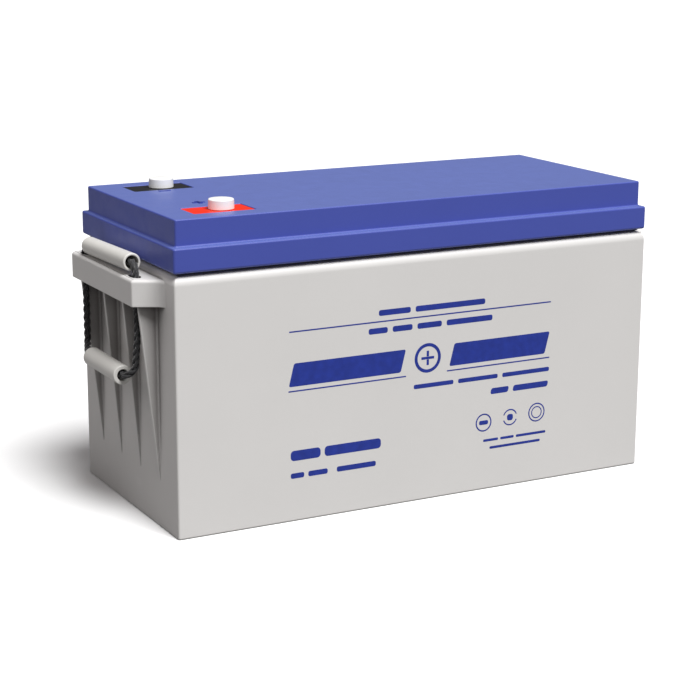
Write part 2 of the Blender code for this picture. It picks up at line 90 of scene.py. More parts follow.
# End ledges and their fins, in distances out from the end wall
LEDGE_REACH = CASE_HIGH.x - HALF_LENGTH
LEDGE_BOTTOM = 0.1973
LEDGE_TOP = 0.2205
LEDGE_HALF_TIP = 0.0718
LEDGE_HALF_ROOT = 0.084
LEDGE_PLATE = 0.006
LEDGE_LIP = 0.0045
LEDGE_CORNER = 0.0022
LEDGE_FILLET = 0.010
LEDGE_TOP_EDGE = 0.0030
LEDGE_BOTTOM_EDGE = 0.0009
FIN_FOOT = 0.041
FIN_ROOT_HALF = 0.0021
FIN_TIP_HALF = 0.0016
FIN_EDGE = 0.0011
FIN_FILLET = 0.0020
FIN_START = 0.0004
FIN_LEVELS = (0.02, 0.06, 0.12, 0.2, 0.35, 0.6, 1.0)
FINS = ((0.0226, 0.0135), (0.0677, 0.0170))  # distance from the middle, reach under the ledge
SLOT_Y = 0.0575
SLOT_HALF_X = 0.0044
SLOT_HALF_Y = 0.0085
SLOT_EDGE = 0.0008

# Lid and top cover
RIM_BOTTOM = SEAL_HIGH.z + GAP
RIM_TOP = COVER_LOW.z - GAP
DECK_BOTTOM = 0.240
PLUG_CLEARANCE = 0.0005
PLUG_EDGE = 0.001
LID_CORNER = 0.0022
LID_TOP_EDGE = 0.0017
LID_BOTTOM_EDGE = 0.0024
SEAL_WIDTH = 0.0015
SEAL_CORNER = 0.004
COVER_CORNER = 0.0018
COVER_EDGE = 0.0014
COVER_FLARE = 0.0016
COVER_WALL = 0.004
PAD_LEDGE = 0.002
PAD_CORNER = 0.0012
PAD_RECESS_CORNER = 0.0014
VALVE_BOSS_RADIUS = 0.0075
VALVE_HOLE_RADIUS = 0.0035
VALVE_EDGE = 0.0006
RISER_HOLE_RADIUS = 0.007

# Terminals
POST_RADIUS = 0.008
POST_CLEARANCE = 0.0008
POST_FLANGE_RADIUS = (POST_HIGH.x - POST_LOW.x) / 2
POST_FLANGE = 0.0024
POST_EDGE = 0.0007
FLANGE_EDGE = 0.0005
BOLT_CHAMFER = 0.0006
BOLT_RADIUS = 0.004
BOLT_DEPTH = 0.016
THREAD_PITCH = 0.00125
THREAD_DEPTH = 0.0005
CAP_RADIUS = (CAP_HIGH.x - CAP_LOW.x) / 2

# Rope handles
ROPE_RADIUS = 0.00325
GRIP_OUT = 0.252
GRIP_RADIUS = 0.0078
GRIP_BORE = 0.0058
GRIP_ENDS = (Vector((-GRIP_OUT, -0.052, 0.2313)), Vector((-GRIP_OUT, 0.049, 0.2288)))
TUBE_EDGE = 0.0009
TUBE_BORE_EDGE = 0.0005
STOP_OUT = 0.260
STOP_RADIUS = 0.0085
STOP_BORE = 0.005
STOP_Z = 0.133
STOP_ENDS = (Vector((-STOP_OUT, -0.045, STOP_Z)), Vector((-STOP_OUT, 0.029, STOP_Z)))
ROPE_CORNERS = (  # the loop's corners and the radius of each bend, from the near end of the grip
    (Vector((-GRIP_OUT, -0.059, 0.2315)), 0.007),
    (Vector((-GRIP_OUT, -0.0605, 0.172)), 0.060),
    (Vector((-GRIP_OUT, -0.0535, 0.1385)), 0.007),
    (Vector((-STOP_OUT, -0.0505, STOP_Z)), 0.006),
    (Vector((-STOP_OUT, 0.040, STOP_Z)), 0.012),
    (Vector((-GRIP_OUT, 0.0618, 0.139)), 0.006),
    (Vector((-GRIP_OUT, 0.0618, 0.2285)), 0.007),
)
LAY_LENGTH = 0.022
STRAND_SHARE = 0.464  # a strand's radius in a laid rope of three, of the rope's radius
ROPE_STEP = 0.0011

INK_PROUD = 0.00006
PLUS_SPOT = (-0.181, -0.030)
MINUS_SPOT = (-0.182, 0.0435)
MARK_LENGTH = 0.0115
MARK_WIDTH = 0.0036
MARK_HEIGHT = 0.0005
MARK_CORNER = 0.0005


# ---------------------------------------------------------------- materials

def linear(red, green, blue):
    """A colour given by its 8-bit display values, as scene-linear values."""
    shares = (red / 255, green / 255, blue / 255)
    return tuple(c / 12.92 if c <= 0.04045 else ((c + 0.055) / 1.055) ** 2.4 for c in shares)


def node(tree, kind, inputs=None, **settings):
    """A shader node. An input is a plain value or another node's output."""
    made = tree.nodes.new("ShaderNode" + kind)
    for key, value in settings.items():
        setattr(made, key, value)
    for key, value in (inputs or {}).items():
        if isinstance(value, bpy.types.NodeSocket):
            tree.links.new(value, made.inputs[key])
        elif isinstance(value, tuple) and made.inputs[key].type == "RGBA":
            made.inputs[key].default_value = (*value, 1.0)
        else:
            made.inputs[key].default_value = value
    return made


def new_material(name):
    """An empty material, its node tree and its shader."""
    made = bpy.data.materials.new(name)
    made.use_nodes = True
    return made, made.node_tree, made.node_tree.nodes["Principled BSDF"]


def blotches(tree, where, scale, detail=3.0):
    return node(tree, "TexNoise", {"Vector": where, "Scale": scale, "Detail": detail}).outputs["Fac"]


def ramp(tree, amount, start, end, low, high):
    """A value that runs from low to high as the amount runs from start to end."""
    return node(tree, "MapRange", {"Value": amount, "From Min": start, "From Max": end,
                                   "To Min": low, "To Max": high}).outputs["Result"]


def between(tree, amount, low, high):
    """A value that runs from low to high as the amount runs over the middle of its range."""
    return ramp(tree, amount, 0.3, 0.7, low, high)


def blend_colours(tree, amount, first, second):
    mixed = node(tree, "Mix", {"Factor": amount, "A": first, "B": second}, data_type="RGBA")
    return mixed.outputs["Result"]


def shaded(colour, share):
    return tuple(channel * share for channel in colour)


def bump(tree, shader, height, distance, strength=1.0, below=None):
    inputs = {"Height": height, "Distance": distance, "Strength": strength}
    if below is not None:
        inputs["Normal"] = below
    made = node(tree, "Bump", inputs).outputs["Normal"]
    tree.links.new(made, shader.inputs["Normal"])
    return made


def stretched(tree, scale, turn=(0.0, 0.0, 0.0)):
    where = node(tree, "TexCoord").outputs["Object"]
    return node(tree, "Mapping", {"Vector": where, "Scale": scale, "Rotation": turn}).outputs["Vector"]


def moulded(name, colour, roughness, grain=0.00003, variation=0.03, coat=0.0, whitening=None, hollow_shade=None):
    """Moulded plastic: fine spark-eroded grain, slow tone and gloss variation, and hair-fine handling marks.
    With a pale colour given, upward faces get a painted sheen, and with a dark colour given, hollows and
    creases get painted shade."""
    made, tree, shader = new_material(name)
    where = node(tree, "TexCoord").outputs["Object"]
    tone = blend_colours(tree, blotches(tree, where, 9.0), shaded(colour, 1 - variation),
                         shaded(colour, 1 + variation))
    marks = blotches(tree, stretched(tree, (900.0, 40.0, 60.0), (0.3, 0.5, 0.2)), 1.0, 6.0)
    worn_with_painted_light = blend_colours(tree, ramp(tree, marks, 0.66, 0.72, 0.0, 0.10), tone, shaded(colour, 1.25))
    # Painted sheen: upward faces are blended toward a pale colour, as the sheen of light on them
    if whitening is not None:
        up = node(tree, "SeparateXYZ", {"Vector": node(tree, "NewGeometry").outputs["Normal"]}).outputs["Z"]
        worn_with_painted_light = blend_colours(tree, ramp(tree, up, 0.7, 1.0, 0.0, 0.10), worn_with_painted_light, whitening)
    # Painted shade: ambient occlusion darkens the colour toward a dark warm tone in hollows and creases
    if hollow_shade is not None:
        for reach, shut, clear, least in (HOLLOWS, CREASES):
            hollow = node(tree, "AmbientOcclusion", {"Distance": reach}, samples=12, only_local=True)
            unshaded = ramp(tree, hollow.outputs["AO"], shut, clear, least, 1.0)
            worn_with_painted_light = blend_colours(tree, unshaded, hollow_shade, worn_with_painted_light)
    tree.links.new(worn_with_painted_light, shader.inputs["Base Color"])
    gloss = between(tree, blotches(tree, where, 70.0, 5.0), roughness - 0.05, roughness + 0.05)
    tree.links.new(gloss, shader.inputs["Roughness"])
    shader.inputs["Specular IOR Level"].default_value = 0.5
    shader.inputs["Coat Weight"].default_value = coat
    shader.inputs["Coat Roughness"].default_value = 0.3
    slow = bump(tree, shader, blotches(tree, where, 45.0, 2.0), 0.0001, 0.35)
    bump(tree, shader, blotches(tree, where, 2600.0, 2.0), grain, 0.8, slow)
    return made


def rope_fibre(name, colour):
    """Twisted filament strands: UV.x runs round a strand and UV.y along it, one unit a strand width."""
    made, tree, shader = new_material(name)
    place = node(tree, "TexCoord").outputs["UV"]
    split = node(tree, "SeparateXYZ", {"Vector": place})
    around = node(tree, "Math", {0: split.outputs["X"], 1: 7.0}, operation="MULTIPLY").outputs[0]
    along = node(tree, "Math", {0: split.outputs["Y"], 1: 1.1}, operation="MULTIPLY").outputs[0]
    lay = node(tree, "Math", {0: around, 1: along}, operation="ADD").outputs[0]
    wave = node(tree, "Math", {0: lay, 1: math.tau}, operation="MULTIPLY").outputs[0]
    yarn = node(tree, "Math", {0: wave}, operation="SINE").outputs[0]
    where = node(tree, "TexCoord").outputs["Object"]
    fuzz = blotches(tree, where, 3800.0, 3.0)
    # Painted highlight and shade: the colour runs from dark in each yarn's groove to light on its crest, in
    # step with the ridge bump; loose fuzz is paled on top of that
    lit = ramp(tree, yarn, -1.0, 1.0, 0.0, 1.0)
    tone = blend_colours(tree, lit, shaded(colour, 0.45), shaded(colour, 1.5))
    fuzz_and_ridge_light = blend_colours(tree, between(tree, fuzz, 0.0, 0.35), tone, shaded(colour, 3.0))
    tree.links.new(fuzz_and_ridge_light, shader.inputs["Base Color"])
    tree.links.new(between(tree, fuzz, 0.55, 0.75), shader.inputs["Roughness"])
    shader.inputs["Sheen Weight"].default_value = 0.35
    shader.inputs["Sheen Roughness"].default_value = 0.45
    ridges = bump(tree, shader, yarn, 0.00012, 0.9)
    bump(tree, shader, fuzz, 0.00008, 0.6, ridges)
    return made


def metal(name, colour, tarnish, roughness, lathe=(1.0, 1.0, 1.0), relief=0.00002):
    """Cast or turned metal, with tarnish in blotches and tool marks stretched along the lathe's scale."""
    made, tree, shader = new_material(name)
    where = node(tree, "TexCoord").outputs["Object"]
    cloud = blotches(tree, where, 220.0, 6.0)
    tone = blend_colours(tree, between(tree, cloud, 0.0, 1.0), colour, tarnish)
    tree.links.new(tone, shader.inputs["Base Color"])
    shader.inputs["Metallic"].default_value = 1.0
    marks = blotches(tree, stretched(tree, lathe), 400.0, 4.0)
    tree.links.new(between(tree, marks, roughness - 0.08, roughness + 0.12), shader.inputs["Roughness"])
    bump(tree, shader, marks, relief, 0.8)
    return made


def paste(name, colour, fleck):
    """Active mass pressed into a lead grid: the grid's bars show as a faint lattice under the grains."""
    made, tree, shader = new_material(name)
    where = node(tree, "TexCoord").outputs["Object"]
    grains = node(tree, "TexVoronoi", {"Vector": where, "Scale": 900.0}).outputs["Distance"]
    cloud = blotches(tree, where, 60.0, 5.0)
    bars = []
    for direction in ("Y", "Z"):
        bars.append(node(tree, "TexWave", {"Vector": where, "Scale": 22.0, "Distortion": 0.4},
                         bands_direction=direction).outputs["Fac"])
    lattice = node(tree, "Math", {0: bars[0], 1: bars[1]}, operation="MAXIMUM").outputs[0]
    ribs = ramp(tree, lattice, 0.8, 1.0, 0.0, 1.0)
    tone = blend_colours(tree, between(tree, cloud, 0.0, 1.0), shaded(colour, 0.8), shaded(colour, 1.25))
    tree.links.new(blend_colours(tree, grains, tone, fleck), shader.inputs["Base Color"])
    tree.links.new(between(tree, cloud, 0.80, 0.95), shader.inputs["Roughness"])
    relief = bump(tree, shader, ribs, 0.0003, 0.7)
    bump(tree, shader, grains, 0.0001, 0.8, relief)
    return made


def felt(name, colour):
    """Matted glass fibre: crossing fine fibres and soft clumps."""
    made, tree, shader = new_material(name)
    where = node(tree, "TexCoord").outputs["Object"]
    one = blotches(tree, stretched(tree, (200.0, 4000.0, 900.0), (0.4, 0.2, 0.7)), 1.0, 4.0)
    two = blotches(tree, stretched(tree, (4000.0, 200.0, 900.0), (0.9, 0.6, 0.1)), 1.0, 4.0)
    fibres = node(tree, "Math", {0: one, 1: two}, operation="MAXIMUM").outputs[0]
    clumps = blotches(tree, where, 90.0, 3.0)
    tone = blend_colours(tree, between(tree, clumps, 0.0, 1.0), shaded(colour, 0.86), colour)
    fluffy = blend_colours(tree, between(tree, fibres, 0.5, 0.0), tone, shaded(colour, 0.75))
    tree.links.new(fluffy, shader.inputs["Base Color"])
    tree.links.new(between(tree, fibres, 0.85, 1.0), shader.inputs["Roughness"])
    shader.inputs["Sheen Weight"].default_value = 0.2
    bump(tree, shader, fibres, 0.0002, 0.8)
    return made


def rubber(name, colour, roughness, relief):
    """Moulded or run-in rubber with a dull bloom."""
    made, tree, shader = new_material(name)
    where = node(tree, "TexCoord").outputs["Object"]
    whitening = blotches(tree, where, 130.0, 5.0)
    tone = blend_colours(tree, between(tree, whitening, 0.0, 1.0), colour, shaded(colour, 2.2))
    tree.links.new(tone, shader.inputs["Base Color"])
    tree.links.new(between(tree, whitening, roughness, roughness + 0.15), shader.inputs["Roughness"])
    bump(tree, shader, blotches(tree, where, 420.0, 4.0), relief, 0.7)
    return made


def ink(name, colour):
    """Screen print: a thin glossier layer, slightly uneven in cover, with a fine mesh texture."""
    made, tree, shader = new_material(name)
    where = node(tree, "TexCoord").outputs["Object"]
    cover = blotches(tree, where, 160.0, 4.0)
    tone = blend_colours(tree, between(tree, cover, 0.0, 1.0), shaded(colour, 0.88), shaded(colour, 1.15))
    tree.links.new(tone, shader.inputs["Base Color"])
    tree.links.new(between(tree, cover, 0.28, 0.40), shader.inputs["Roughness"])
    bump(tree, shader, blotches(tree, where, 1800.0, 1.0), 0.00001, 0.6)
    return made


# Painted shade in hollows and creases: how far away a hollow's walls may be, the openness where the painted
# shade is full and where it is gone, and the least share of the surface's own colour
HOLLOWS = (0.04, 0.35, 0.93, 0.0)
CREASES = (0.007, 0.55, 0.93, 0.25)
GREY = linear(214, 212, 210)
# Colour of the painted shade in hollows and creases
HOLLOW_SHADE_COLOUR = (0.10, 0.085, 0.083)
BLUE = linear(67, 80, 165)
# Colour of the painted sheen on the lid's upward faces
TOP_SHEEN_COLOUR = (0.66, 0.84, 0.85)
BRASS = linear(226, 198, 128)
BRASS_TARNISH = linear(176, 140, 78)
MATERIALS = {
    # The case's colour carries painted shade in its hollows and creases
    "case_grey": moulded("case_grey", GREY, 0.46, hollow_shade=HOLLOW_SHADE_COLOUR),
    # The lid's colour carries a painted sheen on its upward faces
    "lid_blue": moulded("lid_blue", BLUE, 0.42, grain=0.00002, variation=0.05, whitening=TOP_SHEEN_COLOUR),
    "sealant": rubber("sealant", linear(16, 16, 26), 0.55, 0.0002),
    "pad_red": moulded("pad_red", linear(240, 46, 8), 0.38, grain=0.00001),
    "pad_black": moulded("pad_black", linear(24, 25, 28), 0.38, grain=0.00001),
    "cap_white": moulded("cap_white", linear(243, 243, 241), 0.36, grain=0.00001, variation=0.015),
    "grip_grey": moulded("grip_grey", linear(216, 214, 209), 0.38, grain=0.00001, coat=0.15),
    "rope_black": rope_fibre("rope_black", linear(34, 34, 36)),
    "terminal_brass": metal("terminal_brass", BRASS, BRASS_TARNISH, 0.28, (1.0, 1.0, 30.0)),
    "lead": metal("lead", linear(150, 152, 158), linear(96, 98, 106), 0.52, (1.0, 1.0, 1.0), 0.00012),
    "positive_paste": paste("positive_paste", linear(74, 46, 34), linear(112, 74, 52)),
    "negative_paste": paste("negative_paste", linear(122, 125, 128), linear(158, 160, 164)),
    "glass_mat": felt("glass_mat", linear(238, 238, 232)),
    "valve_rubber": rubber("valve_rubber", linear(20, 20, 21), 0.6, 0.00005),
}
INK = ink("print_blue", linear(30, 50, 142))


# ---------------------------------------------------------------- mesh helpers

def new_object(name, bm):
    """A linked object with this mesh, its faces turned outward."""
    bmesh.ops.recalc_face_normals(bm, faces=bm.faces)
    mesh = bpy.data.meshes.new(name)
    bm.to_mesh(mesh)
    bm.free()
    thing = bpy.data.objects.new(name, mesh)
    bpy.context.scene.collection.objects.link(thing)
    return thing


def carve(target, operation, cutter):
    """Cuts or joins the cutter into the target's mesh, and removes the cutter."""
    step = target.modifiers.new("carve", "BOOLEAN")
    step.operation = operation
    step.object = cutter
    bpy.context.view_layer.update()
    graph = bpy.context.evaluated_depsgraph_get()
    mesh = bpy.data.meshes.new_from_object(target.evaluated_get(graph))
    target.modifiers.clear()
    target.data = mesh
    bpy.data.objects.remove(cutter, do_unlink=True)


def finish(thing, body, slot, *replaced, material=None, angle=32.0):
    """Shades the piece smooth between real edges, gives it its material and hangs it on its body."""
    thing.data.materials.clear()
    thing.data.materials.append(material or MATERIALS[slot])
    thing.data.polygons.foreach_set("material_index", [0] * len(thing.data.polygons))
    thing.data.shade_smooth()
    thing.data.set_sharp_from_angle(angle=math.radians(angle))
    weighted = thing.modifiers.new("flat faces stay flat", "WEIGHTED_NORMAL")
    weighted.keep_sharp = True
    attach(thing, body)
    if replaced:
        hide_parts(*replaced)
    return thing


def loft(bm, rings, capped=True, closed=False):
    """Faces between rings that hold as many points each. A closed loft joins the last ring to the first."""
    loops = [[bm.verts.new(point) for point in ring] for ring in rings]
    following = loops[1:] + loops[:1] if closed else loops[1:]
    for low, high in zip(loops, following):
        for index in range(len(low)):
            after = (index + 1) % len(low)
            bm.faces.new((low[index], low[after], high[after], high[index]))
    if capped and not closed:
        bm.faces.new(loops[0][::-1])
        bm.faces.new(loops[-1])
    return loops


def rounded_rectangle(half_x, half_y, radius, z, centre=(0.0, 0.0), steps=6):
    points = []
    for quarter in range(4):
        across = 1 if quarter in (0, 3) else -1
        up = 1 if quarter in (0, 1) else -1
        for step in range(steps + 1):
            turn = (quarter + step / steps) * math.pi / 2
            points.append((centre[0] + across * (half_x - radius) + radius * math.cos(turn),
                           centre[1] + up * (half_y - radius) + radius * math.sin(turn), z))
    return points


def rounded_profile(bottom, top, bottom_radius, top_radius, steps=6):
    """(inset, height) pairs up a wall whose bottom and top edges are rounded."""
    turns = [math.pi / 2 * step / steps for step in range(steps + 1)]
    low = [(bottom_radius * (1 - math.sin(t)), bottom + bottom_radius * (1 - math.cos(t))) for t in turns]
    high = [(top_radius * (1 - math.cos(t)), top - top_radius * (1 - math.sin(t))) for t in turns]
    return low + high


def slab(bm, half_x, half_y, corner, profile, centre=(0.0, 0.0)):
    """A block with round upright corners whose sides follow (inset, height) pairs."""
    tightest = min(corner, SHARPEST_CORNER)
    loft(bm, [rounded_rectangle(half_x - inset, half_y - inset, max(corner - inset, tightest), z, centre)
              for inset, z in profile])


def slab_object(name, *shape, centre=(0.0, 0.0)):
    bm = bmesh.new()
    slab(bm, *shape, centre=centre)
    return new_object(name, bm)


def pockets_object(name, spans, corner):
    """Upright round-cornered blocks, each given by its lowest and highest corner."""
    bm = bmesh.new()
    for low, high in spans:
        half = (high - low) / 2
        middle = (low + high) / 2
        slab(bm, half.x, half.y, corner, [(0.0, low.z), (0.0, high.z)], (middle.x, middle.y))
    return new_object(name, bm)


def round_cutter(name, spots, levels, stretch=1.0, segments=48):
    """Upright turned cutters at the given x and y, through (radius, height) levels."""
    bm = bmesh.new()
    turns = [math.tau * step / segments for step in range(segments)]
    for x, y in spots:
        loft(bm, [[(x + radius * math.cos(t), y + (radius * stretch) * math.sin(t), z) for t in turns]
                  for radius, z in levels])
    return new_object(name, bm)


def turned(name, profile, segments=64, closed=False, shape=None):
    """A profile of (radius, height) points turned about Z. A shape may change the radius of any point."""
    bm = bmesh.new()
    rings = []
    for radius, height in profile:
        ring = []
        for step in range(segments):
            turn = math.tau * step / segments
            r = shape(radius, height, turn) if shape else radius
            ring.append((r * math.cos(turn), r * math.sin(turn), height))
        rings.append(ring)
    loft(bm, rings, closed=closed)
    return new_object(name, bm)


def arc(centre, radius, start, end, steps=6):
    """Points round an arc, with its angles in degrees."""
    points = []
    for step in range(steps + 1):
        turn = math.radians(start + (end - start) * step / steps)
        points.append((centre[0] + radius * math.cos(turn), centre[1] + radius * math.sin(turn)))
    return points


def moved(thing, spot):
    thing.data.transform(Matrix.Translation(spot))
    return thing


# ---------------------------------------------------------------- case

def end_point(side, out, across, z):
    """A point at an end: out from its wall and across it. The right end is the left one turned half round."""
    return (side * (HALF_LENGTH + out), -side * across, z)


def ledge_edge():
    """Half of the ledge's plan from the wall to its tip: (point, outward normal) pairs, as (out, across)."""
    tip = Vector((LEDGE_REACH, LEDGE_HALF_TIP))
    along = (Vector((0.0, LEDGE_HALF_ROOT)) - tip).normalized()
    side = Vector((-along.y, along.x))
    if side.y < 0:
        side = -side
    root = Vector((0.0, LEDGE_HALF_ROOT))
    half = math.acos(along.dot(Vector((0.0, 1.0)))) / 2
    reach = LEDGE_FILLET * math.tan(half)
    centre = root + Vector((LEDGE_FILLET, reach))
    first = math.pi
    last = math.atan2(-side.y, -side.x) % math.tau
    pairs = []
    for step in range(9):
        turn = first + (last - first) * step / 8
        arm = Vector((math.cos(turn), math.sin(turn)))
        pairs.append((centre + LEDGE_FILLET * arm, -arm))
    inner = tip - LEDGE_CORNER * (Vector((1.0, 0.0)) + side) / (1 + side.x)
    start = math.atan2(side.y, side.x)
    for step in range(7):
        turn = start * (1 - step / 6)
        arm = Vector((math.cos(turn), math.sin(turn)))
        pairs.append((inner + LEDGE_CORNER * arm, arm))
    return pairs


def make_ledge(side):
    """One end's ledge: a hollow shelf with round edges that flares into the wall, on four drafted fins."""
    half = ledge_edge()
    edge = [(Vector((p.x, -p.y)), Vector((n.x, -n.y))) for p, n in half] + half[::-1]
    sunk = -WALL / 2
    wall_y = half[0][0].y
    rings = []
    for inset, z in rounded_profile(LEDGE_BOTTOM, LEDGE_TOP, LEDGE_BOTTOM_EDGE, LEDGE_TOP_EDGE):
        plan = [p - inset * n for p, n in edge]
        plan = [Vector((sunk, -wall_y))] + plan + [Vector((sunk, wall_y))]
        rings.append([end_point(side, p.x, p.y, z) for p in plan])
    bm = bmesh.new()
    loft(bm, rings)
    ledge = new_object("ledge", bm)
    reach = LEDGE_REACH - LEDGE_LIP
    inside = FINS[1][0] - FIN_ROOT_HALF / 2
    middle = side * (HALF_LENGTH + (reach - WALL) / 2)
    under = rounded_profile(LEDGE_BOTTOM - WALL, LEDGE_TOP - LEDGE_PLATE, 0.0, 0.001)
    hollow = slab_object("hollow", (reach + WALL) / 2, inside, POCKET_CORNER, under, centre=(middle, 0.0))
    carve(ledge, "DIFFERENCE", hollow)
    for across, out in FINS:
        for sign in (-1, 1):
            carve(ledge, "UNION", make_fin(side, sign * across, out))
    spots = [(side * GRIP_OUT, -SLOT_Y), (side * GRIP_OUT, SLOT_Y)]
    levels = [(SLOT_HALF_X, LEDGE_BOTTOM), (SLOT_HALF_X, LEDGE_TOP - SLOT_EDGE),
              (SLOT_HALF_X + SLOT_EDGE * 0.3, LEDGE_TOP - SLOT_EDGE * 0.3),
              (SLOT_HALF_X + SLOT_EDGE * 1.3, LEDGE_TOP + SLOT_EDGE * 0.3)]
    carve(ledge, "DIFFERENCE", round_cutter("slots", spots, levels, SLOT_HALF_Y / SLOT_HALF_X))
    return ledge


def make_fin(side, across, out):
    """A drafted fin, its edge straight from its foot on the wall to the ledge, with a fillet at its root."""
    top = LEDGE_TOP - LEDGE_PLATE / 2
    rise = LEDGE_BOTTOM - FIN_FOOT
    heights = [FIN_FOOT + rise * share for share in FIN_LEVELS]
    rings = []

    def section(reach, shift, z):
        fillet = min(FIN_FILLET, 0.45 * reach)
        edge = min(FIN_EDGE, 0.45 * reach)
        half = [(-WALL / 2, FIN_ROOT_HALF + fillet)]
        half += arc((fillet, FIN_ROOT_HALF + fillet), fillet, 180, 270, 4)
        half += arc((reach - edge, FIN_TIP_HALF - edge), edge, 90, 0, 4)
        outline = half + [(u, -v) for u, v in reversed(half)]
        return [end_point(side, u + shift, across + v, z) for u, v in outline]

    rings.append(section(FIN_START, -2 * FIN_START, FIN_FOOT - 0.001))
    for z in heights:
        rings.append(section(max(FIN_START, out * (z - FIN_FOOT) / rise), 0.0, z))
    rings.append(section(out, 0.0, top))
    bm = bmesh.new()
    loft(bm, rings)
    return new_object("fin", bm)


def cell_centres():
    return [Vector((column * COLUMN_PITCH, row * ROW_Y, 0.0)) for row in (-1, 1) for column in (-1, 0, 1)]


def cell_spans(bottom, top, margin=0.0):
    half = Vector((CELL_LENGTH / 2 - margin, CELL_WIDTH / 2 - margin, 0.0))
    low, high = Vector((0, 0, bottom)) - half, Vector((0, 0, top)) + half
    return [(centre + low, centre + high) for centre in cell_centres()]


def link_spans():
    """The space over a partition round each link."""
    spans = []
    for number in range(1, 6):
        low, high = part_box(f"cell_link_{number}")
        sides = Vector((LINK_SPACE, LINK_SPACE, LINK_SPACE))
        spans.append((low - sides, Vector((high.x, high.y, PARTITION_TOP + WALL)) + sides))
    return spans


def make_case():
    bm = bmesh.new()
    profile = rounded_profile(0.0, CASE_TOP, CASE_BOTTOM_EDGE, CASE_SHOULDER, 12)
    slab(bm, HALF_LENGTH, HALF_WIDTH, CASE_CORNER, profile)
    case = new_object("case_shell", bm)
    for side in (-1, 1):
        carve(case, "UNION", make_ledge(side))
    cells = cell_spans(FLOOR, PARTITION_TOP + WALL)
    carve(case, "DIFFERENCE", pockets_object("cells", cells, POCKET_CORNER))
    inner = Vector((HALF_LENGTH - WALL, HALF_WIDTH - WALL, 0.0))
    mouth = [(-inner + Vector((0, 0, PARTITION_TOP)), inner + Vector((0, 0, CASE_TOP + WALL)))]
    carve(case, "DIFFERENCE", pockets_object("mouth", mouth, POCKET_CORNER))
    carve(case, "DIFFERENCE", pockets_object("notches", link_spans(), NOTCH_CORNER))
    finish(case, "battery", "case_grey", "case")


# ---------------------------------------------------------------- lid and cover

def terminal_spots():
    return [(TERMINAL_X, -TERMINAL_Y), (TERMINAL_X, TERMINAL_Y)]


def valve_spots():
    return [tuple(centre.xy) for centre in cell_centres()]


def make_lid():
    lid = slab_object("lid_shell", HALF_LENGTH, HALF_WIDTH, LID_CORNER,
                      rounded_profile(RIM_BOTTOM, RIM_TOP, LID_BOTTOM_EDGE, LID_TOP_EDGE))
    inset = WALL + PLUG_CLEARANCE
    plug = rounded_profile(LID_LOW.z, RIM_BOTTOM + 2 * JOIN, PLUG_EDGE, 0.0)
    carve(lid, "UNION", slab_object("plug", HALF_LENGTH - inset, HALF_WIDTH - inset, POCKET_CORNER, plug))
    top = LID_HIGH.z
    bosses = [(VALVE_BOSS_RADIUS, DECK_BOTTOM + JOIN), (VALVE_BOSS_RADIUS, top - VALVE_EDGE),
              (VALVE_BOSS_RADIUS - VALVE_EDGE, top)]
    carve(lid, "UNION", round_cutter("bosses", valve_spots(), bosses))
    pockets = cell_spans(LID_LOW.z - WALL, DECK_BOTTOM, PARTITION)
    carve(lid, "DIFFERENCE", pockets_object("pockets", pockets, POCKET_CORNER))
    holes = [(VALVE_HOLE_RADIUS, DECK_BOTTOM - JOIN), (VALVE_HOLE_RADIUS, COVER_HIGH.z)]
    carve(lid, "DIFFERENCE", round_cutter("valve_holes", valve_spots(), holes))
    holes = [(RISER_HOLE_RADIUS, DECK_BOTTOM - JOIN), (RISER_HOLE_RADIUS, COVER_HIGH.z)]
    carve(lid, "DIFFERENCE", round_cutter("riser_holes", terminal_spots(), holes))
    finish(lid, "battery", "lid_blue", "lid")


def make_seal():
    """The sealing bead in the joint between the case and the lid, slightly bulged."""
    half_x, half_y = SEAL_HIGH.x, SEAL_HIGH.y
    height = SEAL_HIGH.z - SEAL_LOW.z
    section = []
    for step in range(12):
        turn = math.tau * step / 12
        across = math.copysign(abs(math.cos(turn)) ** 0.5, math.cos(turn))
        up = math.copysign(abs(math.sin(turn)) ** 0.35, math.sin(turn))
        section.append((SEAL_WIDTH / 2 * (1 - across), SEAL_LOW.z + height / 2 * (1 + up)))
    bm = bmesh.new()
    loft(bm, [rounded_rectangle(half_x - inset, half_y - inset, SEAL_CORNER - inset, z)
              for inset, z in section], closed=True)
    finish(new_object("seal_bead", bm), "battery", "sealant", "lid_seal", angle=60.0)


